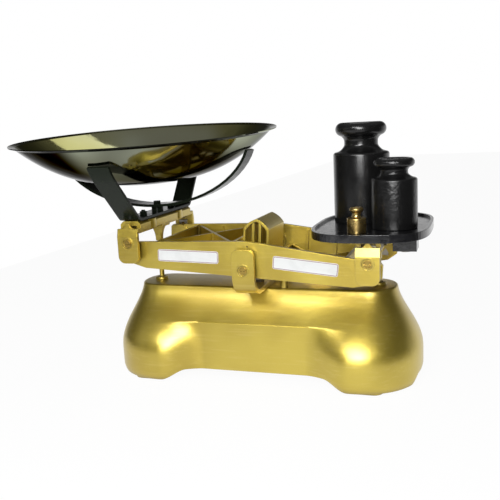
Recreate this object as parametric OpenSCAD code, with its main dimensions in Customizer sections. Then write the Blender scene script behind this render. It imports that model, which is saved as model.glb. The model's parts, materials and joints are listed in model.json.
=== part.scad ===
// Counter scale of the parallel-beam kind: a hollow cast base, a beam that rocks on knife edges,
// and a carrier at each end that a check linkage inside the base keeps upright.
// X runs along the beam, Y from front to back, Z up. The scale stands as photographed, with the
// weights' end of the beam down on its stop.

/* [Beam] */
// Distance from the centre knife line to each end knife line
arm_l = 170; // [165:1:175]
// Height of the centre knife line above the table
knife_z = 182; // [180:0.5:186]
// Lean of the beam from level as it stands, weights down
rest_tilt = 4; // [3:0.25:4.25]
// Distance from the middle plane to the outer face of a cheek
cheek_y = 88; // [86:0.5:89]
// Thickness of a cheek
cheek_t = 7; // [5:0.5:8]
// Depth of a cheek below the knife line
cheek_drop = 24; // [20:0.5:26]
// Height of a cheek above the knife line, at the middle
cheek_rise = 26; // [23:0.5:30]
// Fall of a cheek's top edge towards its ends, in degrees
cheek_fall = 4.5; // [3.5:0.25:5]
// Reach of a cheek beyond the end knife line
cheek_over = 17; // [15:0.5:18]
// Thickness of the crossed braces and the cross members
brace_t = 4; // [3:0.5:8]
// Half width of the arched hood
hood_w = 19; // [17:0.5:21]
// Half length of the arched hood along Y
hood_l = 40; // [34:1:44]
// Height of the hood's crown above the knife line
hood_rise = 50; // [46:1:54]
// Wall of the hood
hood_t = 3; // [2.5:0.5:5]

/* [Knives] */
// Height of a knife, from its edge to its back
knife_h = 11; // [9:0.5:12]
// Width of a knife's back
knife_w = 9; // [8:0.5:10]
// Gap between a knife edge and the bottom of its bearing's notch
knife_gap = 0.1; // [0.05:0.05:0.3]

/* [Base] */
// Height of the base casting
base_h = 132.3; // [128:0.5:133]
// Half length of the base at the top
base_top_l = 196; // [194:0.5:200]
// Half depth of the base at the top
base_top_w = 41; // [39:0.5:46]
// How much further the lobes reach along X at the bottom
lobe_out = 34.4; // [28:0.5:40]
// How much further the lobes reach along Y at the bottom
lobe_deep = 58; // [50:1:64]
// How much further the waist reaches along Y at the bottom
waist_deep = 33; // [28:1:38]
// Thickness of the base's wall
base_wall = 6; // [4:0.5:8]
// Height of the arch between the feet
arch_h = 15.5; // [12:0.5:18]
// Height of the lobes' lower edge over the table, which the foot pads bridge
foot_h = 2.5; // [2:0.5:5]
// Outer radius of the collar round each leg's hole
collar_r = 9.5; // [9:0.25:12]
// Height of that collar
collar_h = 4; // [2:0.5:6]

/* [Centre stand] */
// Distance from the middle plane to the outer face of the stand
stand_y = 99.5; // [99:0.25:103]
// Thickness of the stand's strap
stand_t = 6; // [5:0.25:6.5]
// Width of the stand's strap
stand_w = 32; // [28:1:38]
// Height of the stand's rounded top
stand_top = 198; // [194:1:204]
// Outer radius of the stand's knee
knee_r = 28; // [20:1:34]

/* [Carriers] */
// Distance from the middle plane to the outer face of a carrier's plate
plate_y = 103.5; // [103:0.25:108]
// Thickness of a carrier's plate
plate_t = 6; // [5:0.5:7]
// Width of a carrier
carrier_w = 31.5; // [28:0.5:33]
// Depth of a carrier's plate below its knife line
plate_drop = 16.3; // [14:0.5:18]
// Height of a carrier's crossbar top above its knife line
bar_rise = 42.7; // [40:0.5:46]
// Height of the crossbar itself
bar_h = 14.8; // [12:0.5:17]
// Radius of the leg's round lower rod
rod_r = 3.75; // [3:0.25:4.5]
// Gap round the rod in its collar, at its sides
rod_gap = 1.6; // [1.2:0.1:3]

/* [Check linkage] */
// Height of the stay's own pivot above the table
stay_z = 60; // [54:1:74]
// Radius of the stay's pivot pin
stay_pin_r = 4; // [3:0.5:5]
// Radius of the pins that join the legs to the stay
leg_pin_r = 3; // [2.5:0.5:4]
// Running gap round the stay's pivot pin
pivot_gap = 0.06; // [0.03:0.01:0.12]
// Play round a leg pin in the stay's fork
fork_gap = 0.3; // [0.2:0.05:0.5]

/* [Bowl and its spider] */
// Radius of the bowl's rim
bowl_r = 200.9; // [190:1:205]
// Depth of the bowl
bowl_d = 70; // [62:1:78]
// Thickness of the bowl's sheet
bowl_t = 1.4; // [1:0.1:2.5]
// Width of the bowl's turned rim
bowl_rim = 9; // [6:1:14]
// Height of the bowl's rim plane at its middle
bowl_z = 357; // [350:0.5:362]
// Lean of the bowl, back edge up, in degrees
bowl_lean = 3.8; // [0:0.1:4]
// Thickness of the spider's straps
strap_t = 4; // [3:0.5:5]
// Width of the spider's straps
strap_w = 32; // [26:1:34]

/* [Weight plate and weights] */
// Half width of the weight plate along X
tray_x = 79.4; // [76:0.2:86]
// Half depth of the weight plate along Y
tray_y = 111; // [105:1:116]
// Height of the weight plate's rim
tray_h = 10.5; // [8:0.5:14]
// Radius of the 5 kg weight
big_r = 40; // [37:0.5:42]
// Radius of the 2 kg weight
mid_r = 30.5; // [28:0.5:32]
// Radius of the 200 g weight
small_r = 12.5; // [10:0.5:13.5]

/* [Hidden] */

gold = "goldenrod";
black = "#262626";
steel = "silver";
cut = 0.5;
rest_gap = 0.1;
thread_gap = 0.1;

// Places of the end knife lines, as the beam stands
end_x = arm_l * cos(rest_tilt);
end_rise = arm_l * sin(rest_tilt);
left_z = knife_z + end_rise;
right_z = knife_z - end_rise;

// The beam: places of the cross ribs, the low braces, the cheeks' small ribs and the hood
cheek_end = arm_l + cheek_over;
rib_in = hood_w + brace_t / 2;
rib_out = arm_l - 32;
cross_mid = (rib_in + rib_out) / 2;
cross_r = 4;
brace_drop = 1.5;
low_brace_top = -6;
small_ribs = [47.6, 93];
small_rib_t = 4;
hood_low = 6 - cheek_drop;
hood_shoulder = 14;
hood_bulge = 2;
post_x = 5;
post_t = 4;
post_l = 5;
peep_r = 1.2;

// Stop pegs on the base and the pads under the beam that meet them
peg_x = 40;
peg_y = 36;
pad_r = 10;
pad_h = 10;
peg_r = 5;
// Height at which a pad's lowest edge lies when the beam leans by rest_tilt
peg_top = knife_z - cheek_drop * cos(rest_tilt) - (peg_x + peg_r) * sin(rest_tilt) - rest_gap;

// Bearings and their screws, all in heights above or below a knife line
bearing_w = 14;
bearing_t = 6.5;
bearing_in = 4;
bearing_far = 18;
bearing_near = 6;
notch_half = 58;
knife_short = 0.5;
stand_bearing_far = 22;
carrier_screw_z = 12.2;
stand_screw_z = -12.6;
screw_r = 3;
screw_head_r = 5;
screw_head_h = 2.4;
recess_r = 7.5;
recess_d = 1.6;
ring_r = 9;
ring_h = 0.8;
stand_in = stand_y - stand_t;
plate_in = plate_y - plate_t;

// Straps, crossbars and what is bolted to them
plate_top = 33;
plate_crease = 21.5;
bolt_y = 48;
bolt_r = 3;
bolt_head_r = 6;
bolt_head_h = 4;
nut_h = 5;
bolt_gap = 0.2;
channel_w = 19;
channel_h = 8;
bar_low = bar_rise - bar_h;
bar_bevel = 4.5;
bar_back = 7;
boss_out = 2.4;
boss_half = 9;
hub_half = 15;
rib_t = 5;
rib_drop = 6;
hub_gap = 7;
spacer_r = 9;
lower_z = left_z + bar_rise;
upper_z = lower_z + strap_t + hub_gap;

// The bowl's middle, and the heights of its sheet below the rim plane
bowl_x = -arm_l - 11.4;
bowl_power = 2.7;
bowl_rim_drop = 3;
bowl_in_r = bowl_r - bowl_rim;
seat_gap = 0.4;
arm_run_y = 84;
arm_slope_front = 44;
arm_slope_back = 52;
arm_reach_front = 181;
arm_reach_back = 173;
arm_reach_x = 161;
arm_rise = 104;
knee_bend = 14;
shoulder_bend = 100;

// The weight plate
tray_mid_x = arm_l - 5.7;
tray_mid_y = -2.5;
tray_wall = 4;
tray_floor_t = 3.5;
tray_pad_h = 2.2;
tray_z = right_z + bar_rise;
tray_top = tray_z + tray_pad_h + tray_floor_t;
tray_rim_z = tray_top + 3;

// The balance box under the weight plate, and its plug
box_x = arm_l + 26;
box_w = 31;
box_y = -56;
box_l = 34;
box_h = 24.4;
box_wall = 2.5;
box_top = tray_top - tray_floor_t - rest_gap;
box_low = box_top - box_h;
plug_r = 6;
plug_head = 2.5;

// The weights' places on the plate, and their heights to the shoulder and overall
big_at = [arm_l - 28, 36];
big_h = [100, 142];
mid_at = [arm_l + 26, -31];
mid_h = [67, 93.5];
small_at = [arm_l - 17.5, -76];
small_h = [20, 34];

// The base: heights at which its rings are drawn, and the shape of one quarter of a ring
waist_half = 75;
waist_in = 1.2;
lobe_x_low = base_top_l - 56;
lobe_x_high = base_top_l - 39;
crease_z = 84;
flare_h = 92;
arch_in = lobe_x_low - 38;
arch_out = lobe_x_low - 3;
end_arch_h = 12;
end_arch_in = 24;
end_arch_out = 48;
edge_r = 3;
ring_steps = 7;
blend_steps = 6;

// The linkage
link_h = knife_z - stay_z;
stay_h = 18;
stay_t = 8;
leg_half = 4.5;
fork_t = 4;
fork_in = 0.3;
fork_web = 13;
eye_r = 9;
hub_r = 11;
bracket_t = 6;
bracket_w = 26;
bracket_half = 31;
stand_bolt_y = 26;
stand_bolt_r = 4;
roof_z = base_h - base_wall;

// Overall size, which puts the origin at the middle of the box that the scale fills
shift_x = -(bowl_x - bowl_r + max(tray_mid_x + tray_x, base_top_l + lobe_out)) / 2;
shift_y = -bowl_t * sin(bowl_lean) / 2;

// Placing

module placed() {
    translate([shift_x, shift_y, 0])
        children();
}

module at_beam() {
    translate([0, 0, knife_z])
        rotate([0, rest_tilt, 0])
            children();
}

module at_left() {
    translate([-end_x, 0, left_z])
        children();
}

module at_right() {
    translate([end_x, 0, right_z])
        children();
}

module at_stay() {
    translate([0, 0, stay_z])
        rotate([0, rest_tilt, 0])
            children();
}

module at_bowl() {
    translate([bowl_x, 0, bowl_z])
        rotate([bowl_lean, 0, 0])
            children();
}

module front_and_back() {
    children();
    mirror([0, 1, 0])
        children();
}

module left_and_right() {
    children();
    mirror([1, 0, 0])
        children();
}

// Extrudes an outline drawn in X and Z from y0 to y1
module from_front(y0, y1) {
    translate([0, y1, 0])
        rotate([90, 0, 0])
            linear_extrude(y1 - y0)
                children();
}

// Extrudes an outline drawn in Y and Z from x0 to x1
module from_side(x0, x1) {
    translate([x0, 0, 0])
        rotate([90, 0, 90])
            linear_extrude(x1 - x0)
                children();
}

// A round bar along Y
module along_y(r, y0, y1, x = 0, z = 0) {
    translate([x, y1, z])
        rotate([90, 0, 0])
            cylinder(r = r, h = y1 - y0, $fn = 48);
}

// Base casting

function clamped(v) = min(1, max(0, v));
function eased(v) = v * v * (3 - 2 * v);
function lobe_share(z) = eased(pow(clamped((base_h - z) / flare_h), 0.9)) * (z < 14 ? 1 - 0.1 * pow((14 - z) / 14, 2) : 1);
function top_round(z) = z > base_h - edge_r ? edge_r - sqrt(max(0, edge_r * edge_r - pow(z - base_h + edge_r, 2))) : 0;
function half_long(z, inset) = base_top_l + lobe_out * lobe_share(z) - inset - top_round(z);
function lobe_deep_at(z, inset) = base_top_w + lobe_deep * lobe_share(z) - inset - top_round(z);
function waist_curve(z) = pow(clamped((base_h - z) / (base_h - crease_z)), 1.4);
function waist_at(z, inset) =
    base_top_w - waist_in + (waist_deep - 3) * waist_curve(z) + 3 * clamped((crease_z - z) / crease_z) - inset - top_round(z);
function lobe_x(z) = lobe_x_high + (lobe_x_low - lobe_x_high) * lobe_share(z);
function side_y(x, z, inset) =
    let (share = eased(clamped((x - waist_half) / (lobe_x(z) - waist_half))))
    waist_at(z, inset) * (1 - share) + lobe_deep_at(z, inset) * share;

// A quarter of a ring, from the end of the waist's straight stretch to the end of the base
function quarter(z, inset) = concat(
    [for (i = [0 : blend_steps])
        let (x = waist_half + (lobe_x(z) - waist_half) * i / blend_steps) [x, side_y(x, z, inset)]],
    [for (i = [1 : ring_steps])
        let (a = 90 * i / ring_steps)
        [lobe_x(z) + (half_long(z, inset) - lobe_x(z)) * pow(sin(a), 0.92), lobe_deep_at(z, inset) * pow(cos(a), 0.92)]]
);
function reversed(list) = [for (i = [len(list) - 1 : -1 : 0]) list[i]];
function without_last(list) = [for (i = [0 : len(list) - 2]) list[i]];
function whole_ring(q) = concat(
    q,
    [for (p = reversed(without_last(q))) [p[0], -p[1]]],
    [for (p = q) [-p[0], -p[1]]],
    [for (p = reversed(without_last(q))) [-p[0], p[1]]]
);

// How far the casting's lower edge rises over its feet, in the arches between them
function edge_rise(x, y) = max(
    (arch_h - foot_h) * eased(clamped((arch_out - abs(x)) / (arch_out - arch_in))),
    abs(x) > lobe_x_high ? (end_arch_h - foot_h) * eased(clamped((end_arch_out - abs(y)) / (end_arch_out - end_arch_in))) : 0
);

// The share of that rise which a ring at this height still takes
function rise_share(z) = pow(clamped((crease_z - z) / (crease_z - foot_h)), 2);
function shell_ring(z, inset) = [for (p = whole_ring(quarter(z, inset))) [p[0], p[1], z + edge_rise(p[0], p[1]) * rise_share(z)]];

outer_heights = [foot_h, 8, 18, 45, 62, crease_z, 98, 110, 121, base_h - edge_r, base_h - 0.9, base_h];
inner_heights = [roof_z, 114, 98, crease_z, 62, 18, foot_h];

// The hollow shell: rings up the outside, then down the inside and back to the first
module base_shell() {
    rings = concat([for (z = outer_heights) shell_ring(z, 0)], [for (z = inner_heights) shell_ring(z, base_wall)]);
    n = len(rings[0]);
    top = len(outer_heights) - 1;
    sides = [for (k = [0 : len(rings) - 1]) if (k != top)
        let (next = (k + 1) % len(rings))
        for (i = [0 : n - 1])
            let (j = (i + 1) % n)
            each [[k * n + i, next * n + j, next * n + i], [k * n + i, k * n + j, next * n + j]]];
    cover = [for (i = [0 : n - 1]) top * n + i];
    ceiling = [for (i = [n - 1 : -1 : 0]) (top + 1) * n + i];
    polyhedron([for (ring = rings) each ring], concat(sides, [cover, ceiling]), convexity = 6);
}

module foot_pad() {
    for (x = [lobe_x_low + 10, lobe_x_low + 32])
        translate([x, base_top_w + lobe_deep - 22, 0])
            cylinder(r = 12.5, h = foot_h + 8, $fn = 40);
    translate([lobe_x_low + 10, base_top_w + lobe_deep - 34.5, 0])
        cube([22, 25, foot_h + 8]);
}

module base_casting() {
    placed()
        color(gold)
            difference() {
                union() {
                    base_shell();
                    left_and_right()
                        front_and_back()
                            foot_pad();
                    for (x = [-arm_l, arm_l])
                        translate([x, 0, roof_z])
                            cylinder(r = collar_r, h = base_wall + collar_h, $fn = 40);
                }
                for (x = [-arm_l, arm_l])
                    translate([x, 0, roof_z - cut])
                        cylinder(r = rod_r + rod_gap, h = base_wall + collar_h + 2 * cut, $fn = 32);
                for (y = [-stand_bolt_y, stand_bolt_y])
                    translate([0, y, roof_z - cut])
                        cylinder(r = stand_bolt_r + bolt_gap, h = base_wall + 2 * cut, $fn = 32);
            }
}

// Centre stand and its fastenings

// The stand's strap seen from the side, one half of it
module stand_side() {
    knee_y = stand_y - knee_r;
    knee_z = base_h + knee_r;
    translate([-cut, base_h])
        square([knee_y + cut, stand_t]);
    difference() {
        intersection() {
            translate([knee_y, knee_z])
                circle(r = knee_r, $fn = 96);
            translate([knee_y, base_h - cut])
                square([knee_r + cut, knee_r + cut]);
        }
        translate([knee_y, knee_z])
            circle(r = knee_r - stand_t, $fn = 96);
    }
    translate([stand_in, knee_z])
        square([stand_t, stand_top - knee_z]);
}

// The stand's outline seen from the front, with its top rounded
module stand_front() {
    top_r = 9;
    translate([-stand_w / 2, base_h - cut])
        square([stand_w, stand_top - top_r - base_h + cut]);
    translate([-stand_w / 2 + top_r, base_h])
        square([stand_w - 2 * top_r, stand_top - base_h]);
    for (x = [-1, 1])
        translate([x * (stand_w / 2 - top_r), stand_top - top_r])
            circle(r = top_r, $fn = 64);
}

// A raised ring with a recess for a screw's head, on a plate's outer face
module ring_boss(face_y, z) {
    along_y(ring_r, face_y - cut, face_y + ring_h, 0, z);
}

module ring_recess(face_y, z, through_y) {
    along_y(recess_r, face_y - recess_d, face_y + ring_h + cut, 0, z);
    along_y(screw_r + thread_gap, through_y, face_y, 0, z);
}

module centre_stand() {
    screw_z = knife_z + stand_screw_z;
    pocket_top = knife_z + bearing_near;
    placed()
        color(gold)
            difference() {
                union() {
                    intersection() {
                        from_side(-stand_w / 2, stand_w / 2)
                            union() {
                                stand_side();
                                mirror([1, 0])
                                    stand_side();
                            }
                        from_front(-stand_y - cut, stand_y + cut)
                            stand_front();
                    }
                    front_and_back()
                        ring_boss(stand_y, screw_z);
                }
                front_and_back() {
                    ring_recess(stand_y, screw_z, stand_in - cut);
                    translate([-bearing_w / 2 - thread_gap, stand_in - cut, knife_z - stand_bearing_far - thread_gap])
                        cube([bearing_w + 2 * thread_gap, bearing_t - bearing_in + cut, stand_bearing_far + bearing_near + 2 * thread_gap]);
                }
                for (y = [-stand_bolt_y, stand_bolt_y])
                    translate([0, y, base_h - cut])
                        cylinder(r = stand_bolt_r + bolt_gap, h = stand_t + 2 * cut, $fn = 32);
            }
}

module stand_bolts() {
    shank_low = roof_z - bracket_t - nut_h - 2;
    placed()
        color(steel)
            for (y = [-stand_bolt_y, stand_bolt_y])
                translate([0, y, 0]) {
                    translate([0, 0, shank_low])
                        cylinder(r = stand_bolt_r, h = base_h + stand_t - shank_low, $fn = 32);
                    translate([0, 0, base_h + stand_t])
                        cylinder(r = 7, h = bolt_head_h, $fn = 6);
                    translate([0, 0, roof_z - bracket_t - nut_h])
                        cylinder(r = 7, h = nut_h, $fn = 6);
                }
}

// A hardened block with a notch for a knife edge, the notch open upwards at z = 0
module notched_block(reach_down, reach_up, y0, y1) {
    wide = reach_up * tan(notch_half) + cut;
    difference() {
        translate([-bearing_w / 2, y0, -reach_down])
            cube([bearing_w, y1 - y0, reach_down + reach_up]);
        from_front(y0 - cut, y1 + cut)
            polygon([[0, -knife_gap], [wide + 2, reach_up + cut], [-wide - 2, reach_up + cut]]);
    }
}

module stand_bearings() {
    y0 = stand_in - bearing_in;
    placed()
        color(steel)
            front_and_back()
                difference() {
                    translate([0, 0, knife_z])
                        notched_block(stand_bearing_far, bearing_near - thread_gap, y0, y0 + bearing_t - thread_gap);
                    along_y(screw_r - thread_gap, y0 - cut, y0 + bearing_t + cut, 0, knife_z + stand_screw_z);
                }
}

// A round-headed screw that lies in a ringed recess, with a slot across its head
module plate_screw(face_y, z, tip_y) {
    head_y = face_y - recess_d;
    difference() {
        union() {
            along_y(screw_head_r, head_y, head_y + screw_head_h, 0, z);
            along_y(screw_r - thread_gap, tip_y, head_y + cut, 0, z);
        }
        translate([-screw_head_r - cut, head_y + screw_head_h - 1, z - 0.6])
            cube([2 * screw_head_r + 2 * cut, 1 + cut, 1.2]);
    }
}

module stand_bearing_screws() {
    placed()
        color(steel)
            front_and_back()
                plate_screw(stand_y, knife_z + stand_screw_z, stand_in - bearing_in + 1);
}

// Pegs on the base that the beam's underside pads come down on

module stop_pegs() {
    placed()
        color(gold)
            for (s = [-1, 1])
                translate([s * peg_x, -s * peg_y, base_h])
                    cylinder(r = peg_r, h = peg_top - base_h, $fn = 40);
}

module stay_bracket() {
    leg_low = stay_z - hub_r;
    flange_low = roof_z - bracket_t;
    inner = stay_t / 2 + fork_in + 1.5;
    placed()
        color(gold)
            difference() {
                union() {
                    translate([-bracket_w / 2, -bracket_half, flange_low])
                        cube([bracket_w, 2 * bracket_half, bracket_t]);
                    front_and_back()
                        from_front(inner, inner + bracket_t) {
                            polygon([[-bracket_w / 2, flange_low + cut], [bracket_w / 2, flange_low + cut],
                                     [hub_r, stay_z], [-hub_r, stay_z]]);
                            translate([0, stay_z])
                                circle(r = hub_r, $fn = 64);
                        }
                }
                along_y(stay_pin_r, -inner - bracket_t - cut, inner + bracket_t + cut, 0, stay_z);
                for (y = [-stand_bolt_y, stand_bolt_y])
                    translate([0, y, flange_low - cut])
                        cylinder(r = stand_bolt_r + bolt_gap, h = bracket_t + 2 * cut, $fn = 32);
            }
}

module stay_pivot_pin() {
    half = stay_t / 2 + fork_in + 1.5 + bracket_t;
    placed()
        color(steel) {
            along_y(stay_pin_r, -half, half + 3, 0, stay_z);
            along_y(stay_pin_r + 3, -half - 3, -half, 0, stay_z);
        }
}

// Beam

function cheek_top(x) = cheek_rise - abs(x) * tan(cheek_fall);

module cheek_outline() {
    polygon([
        [-cheek_end, -8], [-arm_l - 4, -cheek_drop + 5.5], [-arm_l + 20, -cheek_drop],
        [arm_l - 20, -cheek_drop], [arm_l + 4, -cheek_drop + 5.5], [cheek_end, -8],
        [cheek_end, cheek_top(cheek_end) - 3], [cheek_end - 3, cheek_top(cheek_end - 3)],
        [10, cheek_top(10)], [0, cheek_rise - 0.4], [-10, cheek_top(10)],
        [-cheek_end + 3, cheek_top(cheek_end - 3)], [-cheek_end, cheek_top(cheek_end) - 3]
    ]);
}

// A pair of crossed braces between two ribs, in plan
module crossed_braces() {
    run = rib_out - rib_in;
    rise = 2 * (cheek_y - cheek_t / 2);
    length = sqrt(run * run + rise * rise);
    lean = atan2(rise, run);
    translate([cross_mid, 0])
        for (a = [-lean, lean])
            rotate(a)
                square([length, brace_t], center = true);
    translate([cross_mid, 0])
        circle(r = cross_r, $fn = 32);
}

// One side of the hood's gable, from its shoulder up to the crown, slightly bulged
function gable_side(half, crown) =
    let (run = [-half, hood_shoulder], out = [hood_shoulder, half] / norm(run))
    [for (i = [0 : 6]) let (s = i / 6) [half, crown - hood_shoulder] + s * run + 4 * s * (1 - s) * hood_bulge * out];

module hood_gable(half, crown, low) {
    side = gable_side(half, crown);
    polygon(concat([[half, low]], side, [for (i = [5 : -1 : 0]) [-side[i][0], side[i][1]]], [[-half, low]]));
}

module hood() {
    from_front(-hood_l, hood_l)
        difference() {
            hood_gable(hood_w, hood_rise, hood_low);
            hood_gable(hood_w - hood_t, hood_rise - hood_t * 1.2, hood_low - cut);
        }
    // Two posts inside each mouth, on a sill
    front_and_back()
        from_front(hood_l - post_l - 2, hood_l - 2)
            intersection() {
                hood_gable(hood_w - cut, hood_rise - cut, hood_low);
                union() {
                    for (x = [-post_x, post_x])
                        translate([x - post_t / 2, hood_low])
                            square([post_t, hood_rise - hood_low]);
                    translate([-hood_w, hood_low])
                        square([2 * hood_w, post_l]);
                }
            }
}

module end_boss(x) {
    front_and_back()
        along_y(13, cheek_y - cheek_t - 3, cheek_y - cut, x, 0);
}

// What the braces may fill, seen from the front: full height in the bowl's arm, low in the other
module brace_field() {
    difference() {
        translate([0, -brace_drop])
            cheek_outline();
        translate([hood_w, low_brace_top])
            square([rib_out - brace_t / 2 - hood_w, 2 * cheek_rise]);
    }
}

module braces() {
    inner = cheek_y - cheek_t;
    intersection() {
        translate([0, 0, -cheek_drop + 4])
            linear_extrude(2 * cheek_drop)
                for (m = [0, 1])
                    mirror([m, 0]) {
                        crossed_braces();
                        for (x = [rib_in, rib_out])
                            translate([x - brace_t / 2, -inner - cut])
                                square([brace_t, 2 * inner + 2 * cut]);
                    }
        from_front(-inner - cut, inner + cut)
            brace_field();
    }
}

// Small upright ribs on the inner side of each cheek
module cheek_ribs() {
    left_and_right()
        front_and_back()
            for (x = small_ribs)
                translate([x - small_rib_t / 2, cheek_y - cheek_t - small_rib_t, -cheek_drop + 4])
                    cube([small_rib_t, small_rib_t + cut, cheek_top(x) + cheek_drop - 7]);
}

// The pads that meet the stop pegs, each on an arm from the nearest cross rib
module peg_pads() {
    for (turn = [0, 180])
        rotate([0, 0, turn])
            translate([0, -peg_y, -cheek_drop]) {
                translate([peg_x, 0, 0])
                    cylinder(r = pad_r, h = pad_h, $fn = 40);
                translate([rib_in, -pad_r / 2, 4])
                    cube([peg_x - rib_in, pad_r, pad_h - 4]);
            }
}

module beam_casting() {
    placed()
        color(gold)
            at_beam()
                difference() {
                    union() {
                        front_and_back()
                            from_front(cheek_y - cheek_t, cheek_y)
                                cheek_outline();
                        braces();
                        cheek_ribs();
                        peg_pads();
                        for (x = [-arm_l, 0, arm_l])
                            end_boss(x);
                        hood();
                    }
                    for (x = [-arm_l, arm_l])
                        knife_seat(x, 0);
                    knife_seat(0, 180);
                    along_y(peep_r, -cheek_y - cut, -cheek_y + 3, 2.8, 18.8);
                }
}

// A knife's section, with its edge at the origin and its back below it
knife_in = cheek_y - cheek_t - 3;
knife_outline = [
    [0, 0], [knife_w / 2, -knife_h * 0.62], [knife_w / 2, -knife_h], [-knife_w / 2, -knife_h], [-knife_w / 2, -knife_h * 0.62]
];

module knife_seat(x, turn) {
    front_and_back()
        translate([x, 0, 0])
            rotate([0, turn, 0])
                from_front(knife_in - cut, cheek_y + cut)
                    polygon(knife_outline);
}

module knife_pair(x, turn, tip_y) {
    front_and_back()
        translate([x, 0, 0])
            rotate([0, turn, 0])
                from_front(knife_in, tip_y)
                    polygon(knife_outline);
}

module centre_knives() {
    placed()
        color(steel)
            at_beam()
                knife_pair(0, 180, stand_in - knife_short);
}

module left_knives() {
    placed()
        color(steel)
            at_beam()
                knife_pair(-arm_l, 0, plate_in - knife_short);
}

module right_knives() {
    placed()
        color(steel)
            at_beam()
                knife_pair(arm_l, 0, plate_in - knife_short);
}

// Carriers, drawn about the knife line that each hangs from

module carrier_plate_outline() {
    corner = 10;
    half = carrier_w / 2;
    translate([-half, -plate_drop + corner])
        square([carrier_w, plate_top + plate_drop - corner]);
    translate([-half + corner, -plate_drop])
        square([carrier_w - 2 * corner, plate_drop]);
    for (x = [-half + corner, half - corner])
        translate([x, -plate_drop + corner])
            circle(r = corner, $fn = 64);
}

// The little tongue in the middle of a plate's top edge
module tongue_outline() {
    polygon([[-8, plate_top - 2], [8, plate_top - 2], [8, plate_top], [5, plate_top + 1.5], [3.2, plate_top + 4],
             [2.6, plate_top + 8], [-2.6, plate_top + 8], [-3.2, plate_top + 4], [-5, plate_top + 1.5], [-8, plate_top]]);
}

// The crossbar's section, seen from the front
module bar_section() {
    half = carrier_w / 2;
    polygon([[-half, bar_low], [half, bar_low], [half, bar_rise - bar_bevel], [half - bar_bevel, bar_rise],
             [-half + bar_bevel, bar_rise], [-half, bar_rise - bar_bevel]]);
}

// The crossbar: a channel, open below between its bosses, with a rib along its middle
module crossbar() {
    half = carrier_w / 2;
    difference() {
        union() {
            from_front(-plate_in - cut, plate_in + cut)
                bar_section();
            for (y = [-bolt_y, bolt_y])
                translate([0, y, bar_low])
                    cylinder(r = half + boss_out, h = bar_h - 1.5, $fn = 48);
        }
        for (span = [[-plate_in, -bolt_y - boss_half], [boss_half - bolt_y, -hub_half], [hub_half, bolt_y - boss_half], [bolt_y + boss_half, plate_in]])
            translate([-channel_w / 2, span[0], bar_low - cut])
                cube([channel_w, span[1] - span[0], channel_h + cut]);
        // Over the plates' shoulders the bar stands back
        front_and_back()
            translate([-half - cut, plate_in - bar_back, plate_top - 0.5])
                cube([carrier_w + 2 * cut, bar_back + 2 * cut, bar_rise]);
    }
    front_and_back()
        translate([-rib_t / 2, hub_half, bar_low - rib_drop])
            cube([rib_t, plate_in - hub_half + cut, rib_drop + channel_h + cut]);
}

module carrier_frame() {
    half = carrier_w / 2;
    difference() {
        union() {
            front_and_back() {
                difference() {
                    from_front(plate_in, plate_y)
                        carrier_plate_outline();
                    // The outer face leans in above the crease
                    from_side(-half - cut, half + cut)
                        polygon([[plate_y, plate_crease], [plate_y + cut, plate_crease],
                                 [plate_y + cut, plate_top + cut], [plate_y - 3, plate_top + cut]]);
                }
                from_front(plate_in - 0.5, plate_in + 2.5)
                    tongue_outline();
                ring_boss(plate_y, carrier_screw_z);
            }
            crossbar();
        }
        for (y = [-bolt_y, bolt_y])
            translate([0, y, bar_low - cut])
                cylinder(r = bolt_r, h = bar_h + 2 * cut, $fn = 32);
        translate([0, 0, bar_low - cut])
            cylinder(r = bolt_r + bolt_gap, h = bar_h + 2 * cut, $fn = 32);
        front_and_back() {
            ring_recess(plate_y, carrier_screw_z, plate_in - cut);
            translate([-bearing_w / 2 - thread_gap, plate_in - cut, -bearing_near - thread_gap])
                cube([bearing_w + 2 * thread_gap, bearing_t - bearing_in + cut, bearing_far + bearing_near + 2 * thread_gap]);
        }
    }
}

// The leg: a flared gusset under the crossbar that draws in to a rod, with an eye at its foot
module carrier_leg() {
    top = bar_rise - bar_h;
    flare = 14;
    flare_low = 0;
    rows = 10;
    side = [for (i = [0 : rows]) let (s = i / rows)
        [rod_r + 0.4 + (flare - rod_r - 0.4) * pow(s, 2.4), flare_low + (top - flare_low) * s]];
    difference() {
        union() {
            from_front(-leg_half, leg_half)
                polygon(concat(side, [for (i = [rows : -1 : 0]) [-side[i][0], side[i][1]]]));
            translate([-flare + 1, -13, top - 5])
                cube([2 * flare - 2, 26, 5]);
            translate([0, 0, -link_h + 6])
                cylinder(r = rod_r, h = link_h - 6 + 5, $fn = 40);
            along_y(eye_r, -leg_half, leg_half, 0, -link_h);
        }
        along_y(leg_pin_r, -leg_half - cut, leg_half + cut, 0, -link_h);
        translate([0, 0, top - 14])
            cylinder(r = bolt_r - thread_gap, h = 14 + cut, $fn = 32);
    }
}

module carrier_bearings() {
    y0 = plate_in - bearing_in;
    front_and_back()
        difference() {
            mirror([0, 0, 1])
                notched_block(bearing_far, bearing_near, y0, y0 + bearing_t - thread_gap);
            along_y(screw_r - thread_gap, y0 - cut, y0 + bearing_t + cut, 0, carrier_screw_z);
        }
}

module carrier_screws() {
    front_and_back()
        plate_screw(plate_y, carrier_screw_z, plate_in - bearing_in + 1);
}

module leg_pin() {
    outer = leg_half + fork_in + fork_t;
    along_y(leg_pin_r, -outer - 1, outer + 2, 0, -link_h);
    along_y(leg_pin_r + 2, -outer - 3, -outer - 1, 0, -link_h);
}

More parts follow.
